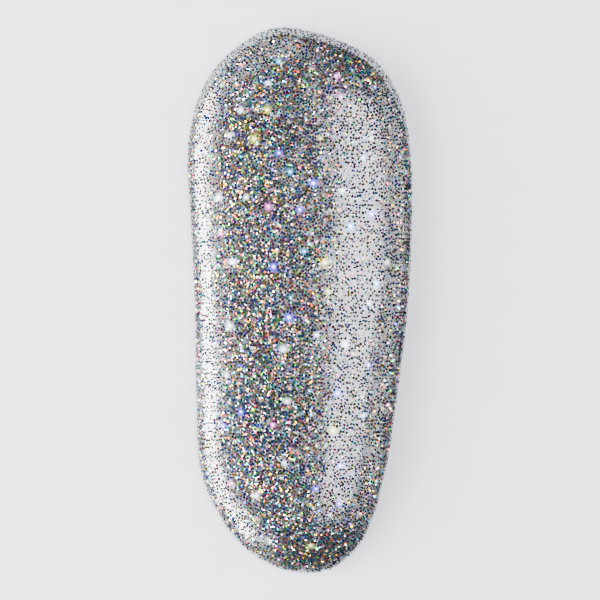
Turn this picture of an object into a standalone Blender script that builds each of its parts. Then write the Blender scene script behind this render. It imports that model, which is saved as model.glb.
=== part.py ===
"""A thick stroke of clear gel polish loaded with holographic glitter, cured coat by coat on a flat surface.

Frame: the flat underside lies in the plane z = 0 and +Z is up. +Y runs along the stroke to its
broad end. The origin is at the middle of the underside. All lengths are in metres.

Every coat is a dome over the same outline, and each wraps the one below down to the surface, as
brushed coats do. A coat starts as a UV sphere without its poles: the upper rows become the coat's
outer face and the lower rows become the face that lies on the coat below. Large flakes of glitter
lie in pockets in the uppermost glitter coat, under the clear top coat.
"""

import math
import random

import bmesh
import bpy
from mathutils import Matrix, Vector

MM = 0.001

# The stroke's edge is a smooth closed curve through these points, in millimetres, clockwise.
EDGE_POINTS = [
    (-0.7, 12.5), (2.8, 11.45), (4.45, 9.6), (5.08, 6.9), (5.15, 3.2), (4.95, -0.5), (4.5, -4.2),
    (3.95, -7.8), (3.05, -10.7), (1.75, -12.15), (0.3, -12.5), (-1.4, -12.1), (-3.2, -10.6), (-4.5, -7.9),
    (-4.74, -4.2), (-4.8, -0.5), (-4.96, 3.2), (-5.12, 6.9), (-4.5, 9.6), (-3.0, 11.5),
]
CURVE_STEPS = 24  # points on the curve from one edge point to the next

# The coats roll in from the edge to a spine along the middle of the stroke.
SPINE_ENDS = (-7.6 * MM, 7.4 * MM)
ROLL = 0.8  # share of the way in to the spine where the rolled side ends
STRIP = 0.96  # share of the way in where the last row stops, at a narrow strip along the spine
RIDGE_FALL = 0.2  # share of the crown that is gone at the ends of the spine

COLUMNS = 64  # points round each coat
SIDE_ROWS = 6  # rows of faces up the rolled side
CROWN_ROWS = 2  # rows of faces from there to the strip
ROWS = SIDE_ROWS + CROWN_ROWS
COATS_GAP = 0.02 * MM  # between one cured coat and the next
SMOOTH_BELOW = math.radians(40)

# Each coat's outer face, from the bottom up: how far its foot stands in from the stroke's edge, the
# height of its rolled side, how much the crown adds to that, and the coat's finish.
COATS = {
    "base_coat": (1.25 * MM, 0.12 * MM, 0.03 * MM, "base_film"),
    "glitter_coat_1": (0.90 * MM, 0.50 * MM, 0.18 * MM, "glitter_gel"),
    "glitter_coat_2": (0.55 * MM, 0.84 * MM, 0.30 * MM, "glitter_gel"),
    "glitter_coat_3": (0.12 * MM, 1.18 * MM, 0.42 * MM, "glitter_gel"),
    "top_coat": (0.0, 1.34 * MM, 0.46 * MM, "clear_gel"),
}
FLAKED_COAT = "glitter_coat_3"

FLAKES = 52
FLAKE_SIDES = 6
FLAKE_THICKNESS = 0.04 * MM
FLAKE_RADII = (0.24 * MM, 0.40 * MM)  # middle to corner, smallest and largest
FLAKE_SINK = 0.04 * MM  # from the glitter coat's face down to the flake's upper face
FLAKE_CLEARANCE = 0.015 * MM  # between a flake and the walls and floor of its pocket
FLAKE_INSET = 1.0 * MM  # the flakes' middles keep this far in from the stroke's edge
FLAKE_SPACING = 0.95 * MM  # and this far from each other
FLAKE_SEED = 11
POCKET_REACH = 0.4 * MM  # height of a pocket's cutter, which stands well out of the coat
ABOVE = 5 * MM  # a height clear of the whole stroke

# Colour, roughness, metallic and alpha of each finish.
FINISHES = {
    "clear_gel": ((0.93, 0.95, 0.97), 0.03, 0.0, 0.25),
    "base_film": ((0.80, 0.82, 0.86), 0.20, 0.0, 0.60),
    "glitter_gel": ((0.36, 0.38, 0.42), 0.30, 0.8, 1.0),
    "flake_white": ((0.92, 0.93, 0.95), 0.12, 1.0, 1.0),
    "flake_violet": ((0.52, 0.50, 0.90), 0.12, 1.0, 1.0),
    "flake_cyan": ((0.50, 0.85, 0.95), 0.12, 1.0, 1.0),
    "flake_gold": ((0.95, 0.90, 0.55), 0.12, 1.0, 1.0),
    "flake_rose": ((0.95, 0.62, 0.72), 0.12, 1.0, 1.0),
}
# The large flakes take these in turn, so white and violet flashes are the most common.
FLAKE_FINISHES = [
    "flake_white", "flake_violet", "flake_cyan", "flake_white",
    "flake_gold", "flake_violet", "flake_white", "flake_rose",
]


def clear_scene():
    for obj in list(bpy.data.objects):
        bpy.data.objects.remove(obj, do_unlink=True)


def add_collection(name, hidden=False):
    made = bpy.data.collections.new(name)
    bpy.context.scene.collection.children.link(made)
    made.hide_render = hidden
    return made


def finish_material(name):
    if name in bpy.data.materials:
        return bpy.data.materials[name]
    colour, roughness, metallic, alpha = FINISHES[name]
    made = bpy.data.materials.new(name)
    made.use_nodes = True
    shader = made.node_tree.nodes["Principled BSDF"]
    shader.inputs["Base Color"].default_value = (*colour, 1.0)
    shader.inputs["Roughness"].default_value = roughness
    shader.inputs["Metallic"].default_value = metallic
    shader.inputs["Alpha"].default_value = alpha
    return made


def add_object(name, bm, finish, home):
    mesh = bpy.data.meshes.new(name)
    bm.to_mesh(mesh)
    bm.free()
    mesh.materials.append(finish_material(finish))
    obj = bpy.data.objects.new(name, mesh)
    home.objects.link(obj)
    return obj


def on_curve(before, start, end, after, t):
    """The point a share t of the way from start to end on the Catmull-Rom curve through all four."""
    return 0.5 * (
        2 * start
        + t * (end - before)
        + t**2 * (2 * before - 5 * start + 4 * end - after)
        + t**3 * (3 * start - before - 3 * end + after)
    )


def edge_curve():
    """The stroke's edge as a fine closed polyline."""
    corners = [Vector(point) * MM for point in EDGE_POINTS]
    fine = []
    for i, start in enumerate(corners):
        end, after = corners[(i + 1) % len(corners)], corners[(i + 2) % len(corners)]
        fine += [on_curve(corners[i - 1], start, end, after, k / CURVE_STEPS) for k in range(CURVE_STEPS)]
    return fine


def edge_loop():
    """COLUMNS points evenly spaced along the stroke's edge, centred on the loop's own box."""
    fine = edge_curve()
    ends = fine[1:] + fine[:1]
    lengths = [(end - start).length for start, end in zip(fine, ends)]
    pitch = sum(lengths) / COLUMNS
    loop, walked = [], 0.0
    for start, end, length in zip(fine, ends, lengths):
        while len(loop) < COLUMNS and len(loop) * pitch < walked + length:
            loop.append(start.lerp(end, (len(loop) * pitch - walked) / length))
        walked += length
    xs, ys = [point.x for point in loop], [point.y for point in loop]
    middle = Vector((min(xs) + max(xs), min(ys) + max(ys))) / 2
    return [point - middle for point in loop]


def dome_point(edge, row, foot, side, crown):
    """A point of a dome, in line with one point of the edge: row 0 at the foot, the last row by the spine."""
    spine = Vector((0.0, min(max(edge.y, SPINE_ENDS[0]), SPINE_ENDS[1])))
    start = edge + (spine - edge).normalized() * foot
    turn = math.pi / 2 * min(row / SIDE_ROWS, 1.0)
    share = ROLL * (1 - math.cos(turn)) + (STRIP - ROLL) * max(row - SIDE_ROWS, 0) / CROWN_ROWS
    ridge = crown * (1 - RIDGE_FALL * (spine.y / SPINE_ENDS[0]) ** 2)
    height = side * math.sin(turn) + ridge * (1 - (1 - share) ** 2)
    return Vector((*start.lerp(spine, share), height))


def add_coat(name, below, edge, home):
    """One coat. Its lower face wraps the coat below with a gap, or is flat where there is none below."""
    foot, side, crown, finish = COATS[name]
    outer = (foot, side, crown)
    if below:
        foot, side, crown, _ = COATS[below]
        lower = (foot - COATS_GAP, side + COATS_GAP, crown)
    else:
        lower = (foot + COATS_GAP, 0.0, 0.0)
    bands = 2 * ROWS + 3  # one at each pole, ROWS on each face and one between the faces
    bm = bmesh.new()
    bmesh.ops.create_uvsphere(bm, u_segments=COLUMNS, v_segments=bands, radius=1.0)
    poles = [vert for vert in bm.verts if math.hypot(vert.co.x, vert.co.y) < math.sin(math.pi / bands) / 2]
    bmesh.ops.delete(bm, geom=poles, context="VERTS")
    for vert in bm.verts:
        column = round(-math.atan2(vert.co.y, vert.co.x) / math.tau * COLUMNS) % COLUMNS
        down = round(math.acos(vert.co.z) / math.pi * bands) - 1
        if down <= ROWS:
            vert.co = dome_point(edge[column], ROWS - down, *outer)
        else:
            vert.co = dome_point(edge[column], down - ROWS - 1, *lower)
    bmesh.ops.holes_fill(bm, edges=[edge for edge in bm.edges if edge.is_boundary], sides=COLUMNS)
    bmesh.ops.triangulate(bm, faces=bm.faces, quad_method="SHORT_EDGE")
    coat = add_object(name, bm, finish, home)
    coat.data.shade_smooth()
    coat.data.set_sharp_from_angle(angle=SMOOTH_BELOW)
    return coat


def hexagonal_plate(radius, thickness):
    bm = bmesh.new()
    bmesh.ops.create_cone(
        bm, cap_ends=True, segments=FLAKE_SIDES, radius1=radius, radius2=radius, depth=thickness
    )
    return bm


def flake_places(coat, edge):
    """Where the large flakes lie on their coat, as (place, slope, radius) for each."""
    draw = random.Random(FLAKE_SEED)
    reach = max(point.y for point in edge)
    places = []
    while len(places) < FLAKES:
        spot = Vector((draw.uniform(-reach, reach), draw.uniform(-reach, reach)))
        radius = draw.uniform(*FLAKE_RADII)
        spin = Matrix.Rotation(draw.uniform(0, math.tau / FLAKE_SIDES), 4, "Z")
        met, place, normal, _ = coat.ray_cast(Vector((*spot, ABOVE)), Vector((0, 0, -1)))
        if not met or min((spot - point).length for point in edge) < FLAKE_INSET:
            continue
        if any((place - other).length < FLAKE_SPACING for other, _, _ in places):
            continue
        slope = Matrix.Translation(place) @ normal.to_track_quat("Z", "Y").to_matrix().to_4x4() @ spin
        places.append((place, slope, radius))
    return places


def add_flakes(places, home):
    middle = Matrix.Translation((0, 0, -FLAKE_SINK - FLAKE_THICKNESS / 2))
    for number, (_, slope, radius) in enumerate(places, 1):
        finish = FLAKE_FINISHES[number % len(FLAKE_FINISHES)]
        flake = add_object(f"holo_flake_{number:02d}", hexagonal_plate(radius, FLAKE_THICKNESS), finish, home)
        flake.matrix_world = slope @ middle


def cut_pockets(coat, places, home):
    """Cuts a pocket for each large flake, open at the coat's face."""
    floor = -FLAKE_SINK - FLAKE_THICKNESS - FLAKE_CLEARANCE
    middle = Matrix.Translation((0, 0, floor + POCKET_REACH / 2))
    cutters = bmesh.new()
    for _, slope, radius in places:
        pocket = hexagonal_plate(radius + FLAKE_CLEARANCE, POCKET_REACH)
        pocket.transform(slope @ middle)
        mesh = bpy.data.meshes.new("pocket")
        pocket.to_mesh(mesh)
        pocket.free()
        cutters.from_mesh(mesh)
        bpy.data.meshes.remove(mesh)
    cutter = add_object("flake_pockets", cutters, "clear_gel", home)
    cutter.hide_render = True
    cutter.display_type = "WIRE"
    cut = coat.modifiers.new("flake_pockets", "BOOLEAN")
    cut.operation = "DIFFERENCE"
    cut.solver = "EXACT"
    cut.object = cutter


def main():
    clear_scene()
    parts = add_collection("glitter_gel_stroke")
    cutters = add_collection("cutters", hidden=True)
    edge = edge_loop()
    coats, below = {}, None
    for name in COATS:
        coats[name] = add_coat(name, below, edge, parts)
        below = name
    bpy.context.view_layer.update()
    places = flake_places(coats[FLAKED_COAT], edge)
    add_flakes(places, parts)
    cut_pockets(coats[FLAKED_COAT], places, cutters)


main()
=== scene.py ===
# %% [markdown]
# # A stroke of holographic glitter gel
#
# The object is one thick stroke of clear gel polish, filled with fine holographic glitter, cured
# under a UV lamp and sealed with a clear top coat. It is 25 mm long and less than 2 mm thick, so
# sizes are written in millimetres, and a factor, MM, turns them to metres.
#
# The CAD model holds the coats and the large flakes. It is loaded first and never moved. Two of its
# coats are then replaced by smoother ones, and thousands of fine flakes are laid between them.

import math

import bmesh
import bpy
import numpy as np
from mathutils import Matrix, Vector, noise


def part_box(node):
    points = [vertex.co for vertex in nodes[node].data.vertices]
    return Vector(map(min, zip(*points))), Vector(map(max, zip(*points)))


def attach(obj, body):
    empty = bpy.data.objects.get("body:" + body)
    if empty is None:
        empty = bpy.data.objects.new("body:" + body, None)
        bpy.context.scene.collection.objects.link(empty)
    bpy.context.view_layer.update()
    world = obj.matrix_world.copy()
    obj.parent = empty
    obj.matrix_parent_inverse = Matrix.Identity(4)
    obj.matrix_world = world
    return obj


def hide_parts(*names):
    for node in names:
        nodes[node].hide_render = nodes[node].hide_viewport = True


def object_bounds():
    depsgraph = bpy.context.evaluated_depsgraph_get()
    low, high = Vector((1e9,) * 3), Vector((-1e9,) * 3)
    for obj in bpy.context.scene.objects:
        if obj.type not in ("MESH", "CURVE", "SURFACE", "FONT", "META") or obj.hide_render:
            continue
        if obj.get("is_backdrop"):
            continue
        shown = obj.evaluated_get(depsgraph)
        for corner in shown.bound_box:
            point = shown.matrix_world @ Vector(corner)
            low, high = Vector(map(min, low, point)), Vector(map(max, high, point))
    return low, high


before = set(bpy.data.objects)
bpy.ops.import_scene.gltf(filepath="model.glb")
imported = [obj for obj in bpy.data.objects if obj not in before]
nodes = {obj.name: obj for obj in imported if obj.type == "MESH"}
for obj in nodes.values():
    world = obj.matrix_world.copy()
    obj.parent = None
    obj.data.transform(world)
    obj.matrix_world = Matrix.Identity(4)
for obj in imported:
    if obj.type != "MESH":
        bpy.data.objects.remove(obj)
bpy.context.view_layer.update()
MM = 0.001
print("CAD nodes:", len(nodes))

# %% [markdown]
# ## Helpers
#
# Colours are easiest to read as the hex values that a paint program shows, but Blender's shaders
# work in linear light, so one function turns the one into the other. A second function adds a node
# to any tree, sets its values and joins its inputs, which keeps each material short.


# %% Colours
def linear(hex_colour):
    """An sRGB hex colour as linear RGBA."""
    channels = [int(hex_colour[i : i + 2], 16) / 255 for i in (1, 3, 5)]
    channels = [c / 12.92 if c <= 0.04045 else ((c + 0.055) / 1.055) ** 2.4 for c in channels]
    return (*channels, 1.0)


print("mid grey in linear light:", round(linear("#808080")[0], 3))


# %% Nodes
def add_node(tree, kind, settings=None, links=None):
    """Adds a node. A setting goes to the input of that name or number, or else to the property."""
    node = tree.nodes.new(kind)
    properties = {k: v for k, v in (settings or {}).items() if hasattr(node, str(k))}
    for key, value in properties.items():
        setattr(node, key, value)
    for key, value in (settings or {}).items():
        if key not in properties:
            node.inputs[key].default_value = value
    for key, source in (links or {}).items():
        tree.links.new(source, node.inputs[key])
    return node


def new_material(name):
    """An empty material and its node tree."""
    material = bpy.data.materials.new(name)
    material.use_nodes = True
    material.node_tree.nodes.clear()
    return material, material.node_tree


def add_object(name, mesh, material=None):
    """Puts a mesh in the scene under a name, with its one material if it has one."""
    obj = bpy.data.objects.new(name, mesh)
    bpy.context.scene.collection.objects.link(obj)
    if material:
        mesh.materials.clear()
        mesh.materials.append(material)
    return obj


print("materials so far:", len(bpy.data.materials))

# %% [markdown]
# ## The stroke's edge
#
# A brushed stroke has a soft, slightly crooked edge. It could be drawn as a Bezier curve, but every
# coat has to follow the same edge at its own distance, so the edge is worked out as points: a smooth
# Catmull-Rom curve through twenty places, cut into even steps. It is the same edge as the CAD's,
# which has 64 columns of faces round it.

# %% Edge curve
EDGE_POINTS = [
    (-0.7, 12.5), (2.8, 11.45), (4.45, 9.6), (5.08, 6.9), (5.15, 3.2), (4.95, -0.5), (4.5, -4.2),
    (3.95, -7.8), (3.05, -10.7), (1.75, -12.15), (0.3, -12.5), (-1.4, -12.1), (-3.2, -10.6), (-4.5, -7.9),
    (-4.74, -4.2), (-4.8, -0.5), (-4.96, 3.2), (-5.12, 6.9), (-4.5, 9.6), (-3.0, 11.5),
]
CURVE_STEPS = 24  # points on the curve from one edge point to the next


def on_curve(before, start, end, after, t):
    """The point a share t of the way from start to end on the curve through all four."""
    return 0.5 * (
        2 * start
        + t * (end - before)
        + t**2 * (2 * before - 5 * start + 4 * end - after)
        + t**3 * (3 * start - before - 3 * end + after)
    )


def edge_curve():
    """The stroke's edge in metres, as a fine closed polyline."""
    corners = np.array(EDGE_POINTS) * MM
    fine = []
    for i, start in enumerate(corners):
        end, after = corners[(i + 1) % len(corners)], corners[(i + 2) % len(corners)]
        fine += [on_curve(corners[i - 1], start, end, after, k / CURVE_STEPS) for k in range(CURVE_STEPS)]
    return np.array(fine)


print("points on the curve:", len(edge_curve()))

# %% Even edge points
CAD_COLUMNS = 64
FINE_COLUMNS = 320  # columns of faces round the coats made here


def even_points(fine, count):
    """count points evenly spaced along a closed polyline."""
    ends = np.roll(fine, -1, axis=0)
    walked = np.concatenate([[0.0], np.cumsum(np.linalg.norm(ends - fine, axis=1))])
    stops = np.arange(count) / count * walked[-1]
    closed = np.vstack([fine, fine[:1]])
    return np.column_stack([np.interp(stops, walked, closed[:, axis]) for axis in (0, 1)])


def edge_points(count):
    """The stroke's edge as count points in metres, centred as the CAD's edge is."""
    fine = edge_curve()
    cad = even_points(fine, CAD_COLUMNS)
    return even_points(fine, count) - (cad.min(axis=0) + cad.max(axis=0)) / 2


fine_edge = edge_points(FINE_COLUMNS)
edge_steps = np.linalg.norm(np.diff(fine_edge, axis=0), axis=1)
print("step along the edge, mm:", round(float(edge_steps.mean()) / MM, 3))

# %% [markdown]
# ## One dome
#
# Wet gel pulls itself into a low dome: steep at the edge, then nearly flat. Each coat's face is
# built as rows of points that start at the edge and roll in towards a line down the middle, the
# spine, with the same rule as the CAD. Far more rows are used here, so that reflections run over it
# smoothly. A subdivision surface would also smooth it, but would pull it away from the CAD's sizes.

# %% Dome rule
SPINE_ENDS = (-7.6 * MM, 7.4 * MM)
ROLL = 0.8  # share of the way in to the spine where the rolled side ends
RIDGE_FALL = 0.2  # share of the crown that is gone at the ends of the spine
INMOST = 0.995  # share of the way in where the last row stops


def dome_rows(edge, foot, side, crown, rows):
    """Rows of points from the foot of a dome to its spine, as an array (row, column, xyz).

    foot is how far in the dome starts, side the height of its rolled side, crown what the middle
    adds to that, and rows how many rows of faces are on the side and on the crown.
    """
    side_rows, crown_rows = rows
    spine = np.column_stack([np.zeros(len(edge)), np.clip(edge[:, 1], *SPINE_ENDS)])
    inward = (spine - edge) / np.linalg.norm(spine - edge, axis=1)[:, None]
    start = edge + inward * np.reshape(foot, (-1, 1))
    ridge = crown * (1 - RIDGE_FALL * (spine[:, 1] / SPINE_ENDS[0]) ** 2)
    points = []
    for row in range(side_rows + crown_rows + 1):
        turn = math.pi / 2 * min(row / side_rows, 1.0)
        share = ROLL * (1 - math.cos(turn)) + (INMOST - ROLL) * max(row - side_rows, 0) / crown_rows
        height = side * math.sin(turn) + ridge * (1 - (1 - share) ** 2)
        points.append(np.column_stack([start + (spine - start) * share, height]))
    return np.array(points)


FACE_ROWS = (26, 18)  # for a face that is seen
HIDDEN_ROWS = (10, 6)  # for one that lies on another coat
TOP_SIDE = 1.34 * MM
TOP_CROWN = 0.46 * MM
top_face = dome_rows(fine_edge, 0.0, TOP_SIDE, TOP_CROWN, FACE_ROWS)
print("top of the dome, mm:", round(float(top_face[..., 2].max()) / MM, 3))

# %% Dome mesh
SMOOTH_BELOW = math.radians(50)


def strip_faces(ring):
    """Quads straight across a long thin ring, from end to end, with a triangle at each end."""
    last, half = len(ring) - 1, len(ring) // 2
    quads = [(ring[k + 1], ring[k], ring[last + 1 - k], ring[last - k]) for k in range(1, half - 1)]
    return [(ring[1], ring[0], ring[last]), *quads, (ring[half], ring[half - 1], ring[half + 1])]


def dome_mesh(name, rows, closed_below=True):
    """A mesh of quads through rows of points, closed over the first row and, if asked, the last."""
    bm = bmesh.new()
    rings = [[bm.verts.new(point) for point in row] for row in rows]
    faces = strip_faces(rings[0])
    for ring, after in zip(rings, rings[1:]):
        faces += [(ring[i - 1], ring[i], after[i], after[i - 1]) for i in range(len(ring))]
    if closed_below:
        faces += [corners[::-1] for corners in strip_faces(rings[-1])]
    for corners in faces:
        bm.faces.new(corners)
    mesh = bpy.data.meshes.new(name)
    bm.to_mesh(mesh)
    bm.free()
    mesh.shade_smooth()
    mesh.set_sharp_from_angle(angle=SMOOTH_BELOW)
    return mesh


print("faces across the spine:", FINE_COLUMNS // 2)

# %% [markdown]
# ## The clear top coat
#
# The top coat is an acrylate gel that cures under UV light. Real glass shading would bend the light
# and leave the glitter under it noisy, so the gel is made of two simple shaders: a gloss for the few
# percent that any clear plastic reflects, and see-through for the rest. The Fresnel node sets the
# share from the angle, as in nature. Towards its edge the gel is looked through lengthwise, and a
# Layer Weight node gives it the faint grey that such a depth of gel has. From inside, where the
# surface is only met on the way out, it is fully clear.

# %% Clear gel material
WAVE_LENGTH = 2.2 * MM  # the gel levels itself, but broad waves from the brush stay
WAVE_HEIGHT = 0.08 * MM


def clear_uv_gel():
    """Cured clear acrylate gel, self-levelled: a wet-looking skin whose reflections have soft edges.

    Cured acrylate has an IOR of about 1.5. It is 1.7 here, so that the sheet of mirrored light is as
    strong as on gel with film just under its skin. The flake tips that roughen it are too fine to
    bend light one by one, so a roughness of 0.25 softens the gloss for them.
    """
    material, tree = new_material("cured_clear_uv_gel")
    place = add_node(tree, "ShaderNodeTexCoord").outputs["Object"]
    back = add_node(tree, "ShaderNodeNewGeometry").outputs["Backfacing"]
    waves = add_node(tree, "ShaderNodeTexNoise", {"Scale": 1 / WAVE_LENGTH, "Detail": 2.5}, {"Vector": place})
    wavy = add_node(
        tree, "ShaderNodeBump", {"Strength": 1.0, "Distance": WAVE_HEIGHT}, {"Height": waves.outputs["Fac"]}
    )
    gloss = add_node(tree, "ShaderNodeBsdfGlossy", {"Roughness": 0.25}, {"Normal": wavy.outputs["Normal"]})
    facing = add_node(tree, "ShaderNodeLayerWeight", {"Blend": 0.35})
    depth = add_node(
        tree,
        "ShaderNodeMix",
        {"data_type": "RGBA", 6: linear("#ffffff"), 7: linear("#c4c8d0")},
        {0: facing.outputs["Facing"]},
    )
    clear = add_node(tree, "ShaderNodeBsdfTransparent", links={"Color": depth.outputs[2]})
    through = add_node(tree, "ShaderNodeBsdfTransparent")
    mirror = add_node(tree, "ShaderNodeFresnel", {"IOR": 1.7})
    front = add_node(
        tree,
        "ShaderNodeMixShader",
        links={0: mirror.outputs["Fac"], 1: clear.outputs["BSDF"], 2: gloss.outputs["BSDF"]},
    )
    seen = add_node(
        tree, "ShaderNodeMixShader", links={0: back, 1: front.outputs["Shader"], 2: through.outputs["BSDF"]}
    )
    add_node(tree, "ShaderNodeOutputMaterial", links={"Surface": seen.outputs["Shader"]})
    return material


clear_gel = clear_uv_gel()
print("clear gel nodes:", len(clear_gel.node_tree.nodes))

# %% Top coat piece
RIM_WIDTH = 0.05 * MM  # the top coat's foot, where it meets what the stroke was painted on
INNER_SIDE = 1.20 * MM
INNER_CROWN = 0.42 * MM
inner_face = dome_rows(fine_edge, RIM_WIDTH, INNER_SIDE, INNER_CROWN, HIDDEN_ROWS)
top_coat = add_object(
    "clear_top_coat", dome_mesh("clear_top_coat", [*top_face[::-1], *inner_face]), clear_gel
)
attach(top_coat, "root")
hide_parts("top_coat")
print("top coat faces:", len(top_coat.data.polygons))

# %% [markdown]
# ## The glitter bed
#
# Under the clear coat lies gel packed with glitter. Its deepest flakes are too many to model one by
# one, so the bed is a smooth dome whose material draws them: a Voronoi texture splits the surface
# into cells the size of a flake, and gives each cell its own colour and its own tilt.

# %% Glitter bed material
CELL = 0.125 * MM  # across one flake, with the gel round it
DARKEST = 0.15  # share of the cells that take the dark colour whole
CELL_TILT = 0.5  # how far a cell's own direction pulls the surface's


def packed_glitter(name, dark, pale):
    """Metallised polyester flakes set deep in gel: hard little mirrors, each at its own angle.

    The gel over them dims them and blurs what they mirror, so they are grey, with a roughness of 0.4.
    """
    material, tree = new_material(name)
    place = add_node(tree, "ShaderNodeTexCoord").outputs["Object"]
    geometry = add_node(tree, "ShaderNodeNewGeometry")
    cells = add_node(tree, "ShaderNodeTexVoronoi", {"Scale": 1 / CELL, "Randomness": 1.0}, {"Vector": place})
    drawn = add_node(tree, "ShaderNodeSeparateColor", links={"Color": cells.outputs["Color"]})
    shade = add_node(tree, "ShaderNodeValToRGB", links={"Fac": drawn.outputs["Red"]})
    shade.color_ramp.elements[0].color = linear(dark)
    shade.color_ramp.elements[0].position = DARKEST
    shade.color_ramp.elements[1].color = linear(pale)
    tilt = add_node(
        tree,
        "ShaderNodeVectorMath",
        {"operation": "SUBTRACT", 1: (0.5, 0.5, 0.5)},
        {0: cells.outputs["Color"]},
    )
    lean = add_node(
        tree, "ShaderNodeVectorMath", {"operation": "SCALE", "Scale": CELL_TILT}, {0: tilt.outputs["Vector"]}
    )
    leant = add_node(
        tree,
        "ShaderNodeVectorMath",
        {"operation": "ADD"},
        {0: geometry.outputs["Normal"], 1: lean.outputs["Vector"]},
    )
    normal = add_node(tree, "ShaderNodeVectorMath", {"operation": "NORMALIZE"}, {0: leant.outputs["Vector"]})
    shader = add_node(
        tree,
        "ShaderNodeBsdfPrincipled",
        {"Metallic": 1.0, "Roughness": 0.4},
        {"Base Color": shade.outputs["Color"], "Normal": normal.outputs["Vector"]},
    )
    add_node(tree, "ShaderNodeOutputMaterial", links={"Surface": shader.outputs["BSDF"]})
    return material


bed_material = packed_glitter("glitter_packed_gel", "#282c33", "#6c7074")
print("flakes drawn on a square millimetre:", round((MM / CELL) ** 2))

# %% Glitter bed shape
CLEAR_RIM = 0.08 * MM  # width of the clear edge that the glitter doesn't reach
BROAD_END_RIM = 0.22 * MM  # how much wider it is at the broad end, where the brush set down
BROAD_END = (7.0 * MM, 11.0 * MM)  # where along the stroke it starts and stops widening
BED_SIDE = 1.00 * MM
BED_CROWN = 0.42 * MM
SWELL = 0.03 * MM  # the bed is lumpy, as flakes don't level out
LUMPS = (1.5 * MM, 0.6 * MM)  # size of the broad lumps, and of lumps half as high on them
LEVEL_BELOW = 0.5 * MM  # and the lumps die away below this height


def bed_foot(edge):
    """How far in the glitter starts, for each point of the edge."""
    along = np.clip((edge[:, 1] - BROAD_END[0]) / (BROAD_END[1] - BROAD_END[0]), 0, 1)
    return CLEAR_RIM + BROAD_END_RIM * along * along * (3 - 2 * along)


bed_face = dome_rows(fine_edge, bed_foot(fine_edge), BED_SIDE, BED_CROWN, FACE_ROWS)
for row in bed_face:
    for point in row:
        lump = noise.noise(Vector(point) / LUMPS[0]) + 0.5 * noise.noise(Vector(point) / LUMPS[1])
        point[2] += SWELL * lump * min(point[2] / LEVEL_BELOW, 1.0)
print("top of the bed, mm:", round(float(bed_face[..., 2].max()) / MM, 3))

# %% Glitter bed piece
UNDER_FOOT = 0.53 * MM
UNDER_SIDE = 0.86 * MM
UNDER_CROWN = 0.30 * MM
bed_under = dome_rows(fine_edge, UNDER_FOOT, UNDER_SIDE, UNDER_CROWN, HIDDEN_ROWS)
bed = add_object("glitter_bed", dome_mesh("glitter_bed", [*bed_face[::-1], *bed_under]), bed_material)
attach(bed, "root")
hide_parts("glitter_coat_3")
print("glitter bed faces:", len(bed.data.polygons))

# %% [markdown]
# ## Fine glitter
#
# The flakes that show are real shapes. Each is a thin hexagon about 0.1 mm across, punched from
# metallised film. They could be spread with a particle system, but Geometry Nodes can spread them
# by Poisson disk, which keeps them from piling up, and lean each one a little. One group of nodes
# does this for any flake. It draws a lot from 0 to 1 for every place, and lays a flake only where
# the lot falls in the range that it is given, so that each colour gets its own places.


# %% One flake
def flat_flake(name, sides, radius):
    """A flat flake with so many sides, face up."""
    bm = bmesh.new()
    bmesh.ops.create_circle(bm, cap_ends=True, segments=sides, radius=radius)
    mesh = bpy.data.meshes.new(name)
    bm.to_mesh(mesh)
    bm.free()
    return add_object(name, mesh)


FLAKE_SIDES = 6
FLAKE_RADIUS = 0.05 * MM  # middle to corner
flake = flat_flake("glitter_flake", FLAKE_SIDES, FLAKE_RADIUS)
print("flake across, mm:", round(flake.dimensions.x / MM, 3))

# %% Where flakes go
MOST_PLACES = 400 / MM**2  # places tried before the near ones are dropped
JOG = 0.02 * MM  # the most that a flake stands above its neighbours by chance


def scattered_places(tree, given, gap):
    """Nodes that spread points over the given surface and raise them. Returns points and rotations.

    Every random node has a seed of its own, so that no draw follows another.
    """
    spread = add_node(
        tree,
        "GeometryNodeDistributePointsOnFaces",
        {"distribute_method": "POISSON", "Distance Min": gap, "Density Max": MOST_PLACES, "Seed": 3},
        {"Mesh": given.outputs["Geometry"]},
    )
    jog = add_node(tree, "FunctionNodeRandomValue", {"data_type": "FLOAT", 2: 0.0, 3: JOG, "Seed": 5})
    lift = add_node(
        tree, "ShaderNodeMath", {"operation": "ADD"}, {0: jog.outputs[1], 1: given.outputs["Lift"]}
    )
    raise_by = add_node(
        tree,
        "ShaderNodeVectorMath",
        {"operation": "SCALE"},
        {0: spread.outputs["Normal"], "Scale": lift.outputs["Value"]},
    )
    raised = add_node(
        tree,
        "GeometryNodeSetPosition",
        links={"Geometry": spread.outputs["Points"], "Offset": raise_by.outputs["Vector"]},
    )
    return raised.outputs["Geometry"], spread.outputs["Rotation"]


print("most places on a square millimetre:", round(MOST_PLACES * MM**2))


# %% Which places keep a flake
def lot_in_range(tree, given):
    """Nodes that say, for each place, whether its lot is at least Low and under High."""
    lot = add_node(tree, "FunctionNodeRandomValue", {"data_type": "FLOAT", 2: 0.0, 3: 1.0, "Seed": 11})
    above = add_node(
        tree,
        "FunctionNodeCompare",
        {"data_type": "FLOAT", "operation": "GREATER_EQUAL"},
        {0: lot.outputs[1], 1: given.outputs["Low"]},
    )
    under = add_node(
        tree,
        "FunctionNodeCompare",
        {"data_type": "FLOAT", "operation": "LESS_THAN"},
        {0: lot.outputs[1], 1: given.outputs["High"]},
    )
    kept = add_node(
        tree,
        "FunctionNodeBooleanMath",
        {"operation": "AND"},
        {0: above.outputs["Result"], 1: under.outputs["Result"]},
    )
    return kept.outputs["Boolean"]


print("every place draws a lot from 0 to 1, and keeps its flake if Low <= lot < High")

# %% Scatter group
SIZES = (0.75, 1.25)  # smallest and largest flake against the one that was drawn


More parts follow.
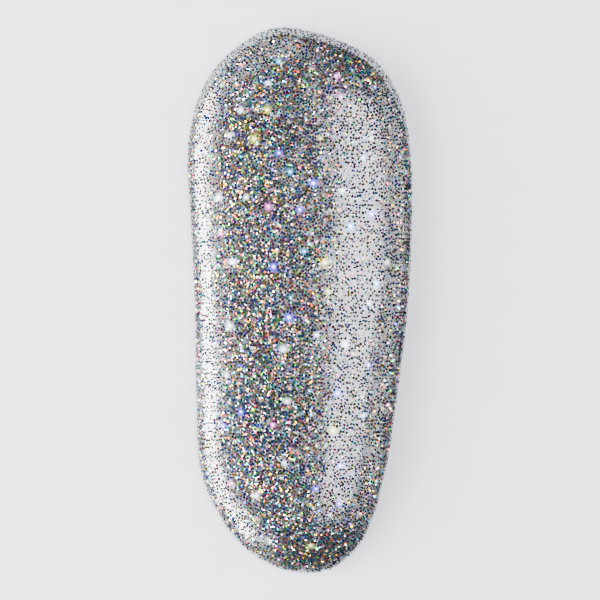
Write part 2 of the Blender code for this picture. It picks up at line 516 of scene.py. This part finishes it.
def scatter_group(flake, gap, lean_range):
    """A node group that lays leaning flakes over a surface, where their lot falls from Low to High."""
    tree = bpy.data.node_groups.new(f"scatter_{flake.name}", "GeometryNodeTree")
    tree.interface.new_socket("Geometry", in_out="INPUT", socket_type="NodeSocketGeometry")
    for number in ("Low", "High", "Lift"):
        tree.interface.new_socket(number, in_out="INPUT", socket_type="NodeSocketFloat")
    tree.interface.new_socket("Geometry", in_out="OUTPUT", socket_type="NodeSocketGeometry")
    given = add_node(tree, "NodeGroupInput")
    points, rotations = scattered_places(tree, given, gap)
    least, most = (lean_range[0], 0.0, 0.0), (lean_range[1], 0.0, math.tau)
    lean = add_node(
        tree, "FunctionNodeRandomValue", {"data_type": "FLOAT_VECTOR", 0: least, 1: most, "Seed": 7}
    )
    turned = add_node(
        tree, "FunctionNodeRotateRotation", {"rotation_space": "LOCAL"}, {0: rotations, 1: lean.outputs[0]}
    )
    size = add_node(
        tree, "FunctionNodeRandomValue", {"data_type": "FLOAT", 2: SIZES[0], 3: SIZES[1], "Seed": 9}
    )
    shape = add_node(tree, "GeometryNodeObjectInfo", {"Object": flake})
    laid = add_node(
        tree,
        "GeometryNodeInstanceOnPoints",
        links={
            "Points": points,
            "Selection": lot_in_range(tree, given),
            "Instance": shape.outputs["Geometry"],
            "Rotation": turned.outputs["Rotation"],
            "Scale": size.outputs[1],
        },
    )
    real = add_node(tree, "GeometryNodeRealizeInstances", links={"Geometry": laid.outputs["Instances"]})
    add_node(tree, "NodeGroupOutput", links={"Geometry": real.outputs["Geometry"]})
    return tree


FLAKE_GAP = 0.09 * MM  # least distance between flake middles
FLAKE_LEAN = (math.radians(15), math.radians(36))  # least and most that a flake leans
scatter = scatter_group(flake, FLAKE_GAP, FLAKE_LEAN)
print("scatter nodes:", len(scatter.nodes))


# %% Lay flakes on a surface
def surface_to_lay_on(name, face):
    """A dome's face turned outwards, without its two lowest rows, where flakes would poke out."""
    return add_object(name, dome_mesh(name, face[:1:-1], closed_below=False))


def lay_flakes(surface, group, low, high, lift):
    """The mesh of the flakes that a scatter group lays over a surface."""
    spreader = surface.modifiers.new("scatter", "NODES")
    spreader.node_group = group
    # Blender names a group's inputs by their order: Socket_0 is the surface, Socket_1 is Low.
    for socket, number in (("Socket_1", low), ("Socket_2", high), ("Socket_3", lift)):
        spreader[socket] = number
    bpy.context.view_layer.update()
    laid = bpy.data.meshes.new_from_object(surface.evaluated_get(bpy.context.evaluated_depsgraph_get()))
    surface.modifiers.clear()
    return laid


sockets = [item.name for item in scatter.interface.items_tree if item.in_out == "INPUT"]
print("inputs of the scatter group:", sockets)

# %% [markdown]
# Film comes in colours. Aluminium-coated film is a metal to the eye, so its colour is the colour of
# its reflection. Holographic film splits light by its angle, so some flakes flash in pure colours
# while most look silver, grey or dark. One material could switch colours at random, but one for
# each colour keeps the mix easy to set. The Random Per Island value differs from flake to flake,
# and sets how bright each one is, so that no two neighbours match.


# %% Film material
def film(name, colour, brightness, finish):
    """Flakes of one colour of film, each somewhere in a range of brightness, with a shader's finish."""
    material, tree = new_material(name)
    island = add_node(tree, "ShaderNodeNewGeometry").outputs["Random Per Island"]
    bright = add_node(
        tree, "ShaderNodeMapRange", {"To Min": brightness[0], "To Max": brightness[1]}, {0: island}
    )
    varied = add_node(
        tree, "ShaderNodeHueSaturation", {"Color": linear(colour)}, {"Value": bright.outputs["Result"]}
    )
    shader = add_node(tree, "ShaderNodeBsdfPrincipled", finish, {"Base Color": varied.outputs["Color"]})
    add_node(tree, "ShaderNodeOutputMaterial", links={"Surface": shader.outputs["BSDF"]})
    return material


# Aluminium-coated polyester with holographic grooves: a hard tinted mirror. The grooves are far
# finer than a flake and spread what it mirrors, so they are drawn as a roughness.
HOLOGRAPHIC = {"Metallic": 1.0, "Roughness": 0.26}
HOLOGRAPHIC_BRIGHTNESS = (0.5, 1.5)
# Each colour's name, its film, its weight in the mix, and how far it lies over the bed in mm. The
# bright ones lie a little higher, so that they show whole.
GLITTER = [
    ("navy", "#1c2c5c", 0.07, 0.005), ("plum", "#5c2c60", 0.06, 0.005), ("slate", "#445250", 0.08, 0.005),
    ("teal", "#2c867c", 0.11, 0.01), ("steel", "#587a84", 0.08, 0.01), ("umber", "#8c5c34", 0.08, 0.01),
    ("silver", "#b0b4b8", 0.11, 0.03), ("cream", "#dcc084", 0.11, 0.035), ("pearl", "#cc98ac", 0.09, 0.03),
    ("cyan", "#22a8c8", 0.05, 0.03), ("gold", "#e0b004", 0.055, 0.035), ("orange", "#d86418", 0.03, 0.035),
    ("red", "#cc1c30", 0.02, 0.03), ("green", "#30b818", 0.045, 0.035), ("violet", "#6038d0", 0.02, 0.03),
    ("pink", "#d05498", 0.03, 0.03),
]
weights = sum(weight for _, _, weight, _ in GLITTER)
print("glitter colours:", len(GLITTER), "whose weights add up to", round(weights, 3))

# %% Lay the fine glitter
scatter_over = surface_to_lay_on("scatter_over", bed_face)
low, total = 0.0, 0
for name, colour, weight, lift in GLITTER:
    high = low + weight / weights
    laid = lay_flakes(scatter_over, scatter, low, high, lift * MM)
    material = film(f"holographic_film_{name}", colour, HOLOGRAPHIC_BRIGHTNESS, HOLOGRAPHIC)
    piece = add_object(f"fine_glitter_{name}", laid, material)
    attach(piece, "root")
    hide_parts("glitter_coat_3")
    total += len(laid.polygons)
    low = high
for helper in (scatter_over, flake):
    bpy.data.objects.remove(helper)
print("fine flakes:", total)

# %% [markdown]
# ## Flake tips in the skin, drawn as painted shade
#
# Some flakes stand almost on edge, and their tips break the clear skin. They show best where a light
# is mirrored: the gloss is a flat pale sheet there, and where a tip breaks it the skin misses the light
# and leaves a small dark dot. That dot is painted shade: a dark, nearly flat disc laid in the skin. A
# bump or a spotted texture could draw them, but small discs stay round from every side. They are laid
# on the skin with the same scatter nodes, and none lies over a large flake.

# %% Tips
TIP_SIDES = 8
TIP_RADIUS = 0.056 * MM
TIP_GAP = 0.122 * MM
TIP_LEAN = (0.0, math.radians(8))
tip = flat_flake("flake_tip", TIP_SIDES, TIP_RADIUS)
tip_scatter = scatter_group(tip, TIP_GAP, TIP_LEAN)
skin = surface_to_lay_on("skin", top_face)
print("tip across, mm:", round(tip.dimensions.x / MM, 3))

# %% Room round the large flakes
KEPT_CLEAR = 0.5  # share of a large flake's radius that no tip covers
flakes = sorted(name for name in nodes if name.startswith("holo_flake_"))
flake_boxes = [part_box(name) for name in flakes]
circles = [((low + high) / 2, (high - low).x / 2) for low, high in flake_boxes]


def hides_large_flake(face):
    """Whether a disc's middle lies over the middle of a large flake."""
    middle = face.calc_center_median()
    return any((middle - centre).xy.length < KEPT_CLEAR * radius for centre, radius in circles)


def clear_of_large_flakes(mesh):
    """Takes away the discs that would lie over a large flake."""
    bm = bmesh.new()
    bm.from_mesh(mesh)
    bmesh.ops.delete(bm, geom=[face for face in bm.faces if hides_large_flake(face)], context="FACES")
    bm.to_mesh(mesh)
    bm.free()


print("largest flake's radius, mm:", round(max(radius for _, radius in circles) / MM, 3))

# %% Lay the tips
# Painted shade: a dark satin colour with no mirror in it, for the dot where the skin misses the light.
TIP_PAINTED_SHADE_FINISH = {"Roughness": 0.6, "Specular IOR Level": 0.0}
TIP_PAINTED_SHADE_BRIGHTNESS = (0.4, 1.6)
TIP_PAINTED_SHADE_COLOURS = {"navy": "#0c1430", "wine": "#280e20", "teal": "#0a2426", "olive": "#282412"}
TIP_SHARE = 0.78  # share of the places that keep a tip
TIP_LIFT = 0.004 * MM
each = TIP_SHARE / len(TIP_PAINTED_SHADE_COLOURS)
total = 0
# Each tip colour is painted shade: a dark disc where the skin's mirrored light is broken.
for number, (name, colour) in enumerate(TIP_PAINTED_SHADE_COLOURS.items()):
    laid = lay_flakes(skin, tip_scatter, number * each, (number + 1) * each, TIP_LIFT)
    clear_of_large_flakes(laid)
    piece = add_object(
        f"flake_tips_{name}", laid, film(f"painted_shade_film_{name}", colour, TIP_PAINTED_SHADE_BRIGHTNESS, TIP_PAINTED_SHADE_FINISH)
    )
    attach(piece, "root")
    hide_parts("top_coat")
    total += len(laid.polygons)
for helper in (skin, tip):
    bpy.data.objects.remove(helper)
print("flake tips:", total)

# %% [markdown]
# ## The lower coats
#
# The base coat is a thin milky film, and the two lower glitter coats are the same packed gel. They
# could be left out, as the coats above hide nearly all of them, but they are part of the stroke, so
# they keep their CAD shapes and get proper materials. The base coat's material mixes two close
# colours by a noise texture, and the same function serves for the card under the stroke.


# %% Mottled materials
def mottled(name, grain, detail, dark, pale, roughness):
    """A matt or satin material that drifts between two close colours, in patches about grain wide."""
    material, tree = new_material(name)
    place = add_node(tree, "ShaderNodeTexCoord").outputs["Object"]
    patches = add_node(tree, "ShaderNodeTexNoise", {"Scale": 1 / grain, "Detail": detail}, {"Vector": place})
    shade = add_node(tree, "ShaderNodeValToRGB", links={"Fac": patches.outputs["Fac"]})
    shade.color_ramp.elements[0].color = linear(dark)
    shade.color_ramp.elements[1].color = linear(pale)
    shader = add_node(
        tree, "ShaderNodeBsdfPrincipled", {"Roughness": roughness}, {"Base Color": shade.outputs["Color"]}
    )
    add_node(tree, "ShaderNodeOutputMaterial", links={"Surface": shader.outputs["BSDF"]})
    return material


# Clear base gel with a little white pigment, brushed on thin: soft, satin and slightly streaky.
milky_base = mottled("milky_base_gel", 0.8 * MM, 3.0, "#c9ccd2", "#dfe1e6", 0.35)
print("milky base nodes:", len(milky_base.node_tree.nodes))


# %% Lower coats
def give(node, material):
    """Puts one material on a CAD node."""
    nodes[node].data.materials.clear()
    nodes[node].data.materials.append(material)


give("base_coat", milky_base)
lower_coats = ("glitter_coat_1", "glitter_coat_2")
for name in lower_coats:
    give(name, packed_glitter(f"{name}_gel", "#10131f", "#6a7888"))
print("coats with new materials:", len(lower_coats) + 1)

# %% [markdown]
# ## Large flakes
#
# Here and there a bigger flake catches the light and seems to glow, with a white heart and a
# coloured edge. On the real stroke the glow is light that the gel spreads round the flake. A lamp in
# each flake would light its neighbours too, so the CAD flake keeps its shape, and the glow is painted
# into its material: a painted highlight that fades from white through its tint to nothing at the rim.

# %% Large flake material
# The white heart and the fade to clear at the rim are the flake's glow, painted on as a painted highlight.
PAINTED_HIGHLIGHT_HEART = 0.1  # share of the way out to the rim that is white
TINTED = 0.3  # and where the tint is full
RIM_FADE = 2.2  # how steeply the flake fades to clear


def painted_glow_film(name, tint):
    """Pearl-coated film, punched into hexagons and tinted, with its glow painted on: a white painted
    highlight in the middle that fades through the tint to clear, with no hard rim.
    """
    material, tree = new_material(f"painted_glow_film_{name}")
    place = add_node(tree, "ShaderNodeTexCoord").outputs["Generated"]
    centred = add_node(
        tree, "ShaderNodeVectorMath", {"operation": "SUBTRACT", 1: (0.5, 0.5, 0.5)}, {0: place}
    )
    flat = add_node(
        tree,
        "ShaderNodeVectorMath",
        {"operation": "MULTIPLY", 1: (2.0, 2.0, 0.0)},
        {0: centred.outputs["Vector"]},
    )
    out = add_node(tree, "ShaderNodeVectorMath", {"operation": "LENGTH"}, {0: flat.outputs["Vector"]})
    shade = add_node(tree, "ShaderNodeValToRGB", links={"Fac": out.outputs["Value"]})
    shade.color_ramp.elements[0].color = linear("#ffffff")
    shade.color_ramp.elements[0].position = PAINTED_HIGHLIGHT_HEART
    shade.color_ramp.elements[1].color = linear(tint)
    shade.color_ramp.elements[1].position = TINTED
    fall = add_node(
        tree,
        "ShaderNodeMath",
        {"operation": "SUBTRACT", "use_clamp": True, 0: 1.0},
        {1: out.outputs["Value"]},
    )
    fade = add_node(tree, "ShaderNodeMath", {"operation": "POWER", 1: RIM_FADE}, {0: fall.outputs["Value"]})
    shader = add_node(
        tree,
        "ShaderNodeBsdfPrincipled",
        {"Metallic": 0.1, "Roughness": 0.35},
        {"Base Color": shade.outputs["Color"], "Alpha": fade.outputs["Value"]},
    )
    add_node(tree, "ShaderNodeOutputMaterial", links={"Surface": shader.outputs["BSDF"]})
    return material


TINTS = {"white": "#dce0ec", "violet": "#5c5cf0", "cyan": "#38a8e0", "gold": "#c4cc58", "rose": "#dc70c4"}
painted_glows = {name: painted_glow_film(name, tint) for name, tint in TINTS.items()}
print("pearl films:", list(painted_glows))

# %% Large flakes
FLAKE_TURN = ["white", "violet", "cyan", "white", "gold", "violet", "white", "rose"]
for number, name in enumerate(flakes, 1):
    give(name, painted_glows[FLAKE_TURN[number % len(FLAKE_TURN)]])
print("large flakes:", len(flakes))

# %% [markdown]
# ## Floor
#
# The stroke lies on a pale card, as a painted sample does. A plane would do, but a round floor has no
# corners to show in low views, and it stops just short of the lamps, so that no dark ground shows
# behind them.

# %% Floor
FLOOR_RADIUS = 170 * MM
FLOOR_SIDES = 96
FLOOR_DROP = 0.02 * MM  # keeps the card clear of the underside

floor_bm = bmesh.new()
bmesh.ops.create_circle(floor_bm, cap_ends=True, segments=FLOOR_SIDES, radius=FLOOR_RADIUS)
bmesh.ops.translate(floor_bm, verts=floor_bm.verts, vec=(0, 0, -FLOOR_DROP))
floor_mesh = bpy.data.meshes.new("floor")
floor_bm.to_mesh(floor_mesh)
floor_bm.free()
# Uncoated card: matt, with a faint mottle of fibres. Fibres are finer than the patches drawn here.
card = mottled("pale_matte_card", 1.5 * MM, 4.0, "#96979a", "#9c9da0", 0.9)
floor = add_object("floor", floor_mesh, card)
floor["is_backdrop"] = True
print("floor across, mm:", round(floor.dimensions.x / MM))

# %% [markdown]
# ## Room
#
# The room is a soft, slightly warm grey that lights the glitter from all round. Behind the floor a
# paler backdrop is seen, which only the camera meets, so that it doesn't wash out the reflections.

# %% Room
ROOM_LIGHT = 1.15
BACKDROP_LIGHT = 2.6
world = bpy.data.worlds.new("dim_room")
bpy.context.scene.world = world
world.use_nodes = True
world.node_tree.nodes.clear()
camera_ray = add_node(world.node_tree, "ShaderNodeLightPath").outputs["Is Camera Ray"]
room = add_node(
    world.node_tree, "ShaderNodeBackground", {"Color": linear("#b9bdac"), "Strength": ROOM_LIGHT}
)
backdrop = add_node(
    world.node_tree, "ShaderNodeBackground", {"Color": linear("#e2e4e8"), "Strength": BACKDROP_LIGHT}
)
either = add_node(
    world.node_tree,
    "ShaderNodeMixShader",
    links={0: camera_ray, 1: room.outputs["Background"], 2: backdrop.outputs["Background"]},
)
add_node(world.node_tree, "ShaderNodeOutputWorld", links={"Surface": either.outputs["Shader"]})
print("room nodes:", len(world.node_tree.nodes))

# %% [markdown]
# ## Lights
#
# Gloss shows the lights, so each one is placed for where its reflection lies. The key softbox, high
# on the right, is mirrored as a pale band down the right side. Two low panels on the left make the
# bright left rim, with a gap between them, so that the dome's top isn't blown out from the front.
# Two dim panels keep the right edge and the far end from going black. Each is an area light: one
# whose power is its brightness times its area times pi mirrors as a sheet of that brightness.


# %% Softboxes
def softbox(name, azimuth, elevation, distance, size, brightness, colour):
    """A rectangular light aimed at the stroke, as bright all over."""
    width, height = (side * MM for side in size)
    light = bpy.data.lights.new(name, "AREA")
    light.shape = "RECTANGLE"
    light.size, light.size_y = width, height
    light.color = linear(colour)[:3]
    light.energy = brightness * width * height * math.pi
    lamp = bpy.data.objects.new(name, light)
    bpy.context.scene.collection.objects.link(lamp)
    a, e = math.radians(azimuth), math.radians(elevation)
    toward = Vector((math.cos(a) * math.cos(e), math.sin(a) * math.cos(e), math.sin(e)))
    lamp.location = toward * distance * MM
    lamp.rotation_mode = "QUATERNION"
    lamp.rotation_quaternion = toward.to_track_quat("Z", "Y")
    lamp.visible_camera = False
    return lamp


# Each lamp's name, degrees round from +X, degrees up, distance in mm, width and height in mm,
# brightness and colour.
LAMPS = [
    ("key_softbox", 0, 60, 250, (233, 160), 18.0, "#f8f6ff"),
    ("left_panel_low", 209, 17, 200, (200, 90), 46.0, "#ffffff"),
    ("left_panel_high", 168, 17, 200, (140, 90), 46.0, "#ffffff"),
    ("right_fill", 5, 18, 250, (300, 140), 4.5, "#ffffff"),
    ("far_fill", 112, 24, 200, (240, 140), 4.5, "#ffffff"),
]
lamps = [softbox(*settings) for settings in LAMPS]
print("lights, watts:", {lamp.name: round(lamp.data.energy, 2) for lamp in lamps})

# %% [markdown]
# ## Camera
#
# The camera looks straight down from close by, as for a painted sample. A mirrored softbox is far
# brighter than the glitter, and a plain transform would clip it to white. AgX rolls bright light
# off instead, so the band stays a flat pale grey, and its contrast look keeps the glitter crisp.

# %% Camera
CAMERA_HEIGHT = 76.45 * MM
LENS = 100
camera = bpy.data.objects.new("camera", bpy.data.cameras.new("camera"))
bpy.context.scene.collection.objects.link(camera)
camera.data.lens = LENS
camera.data.clip_start = 1 * MM
camera.location = (0, 0, CAMERA_HEIGHT)
bpy.context.scene.camera = camera
bpy.context.scene.view_settings.view_transform = "AgX"
bpy.context.scene.view_settings.look = "AgX - Medium High Contrast"
print("view angle, degrees:", round(math.degrees(camera.data.angle), 1))

# %% Sizes and finish
low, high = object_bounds()
print("visual box, mm:", [round(side / MM, 3) for side in high - low])
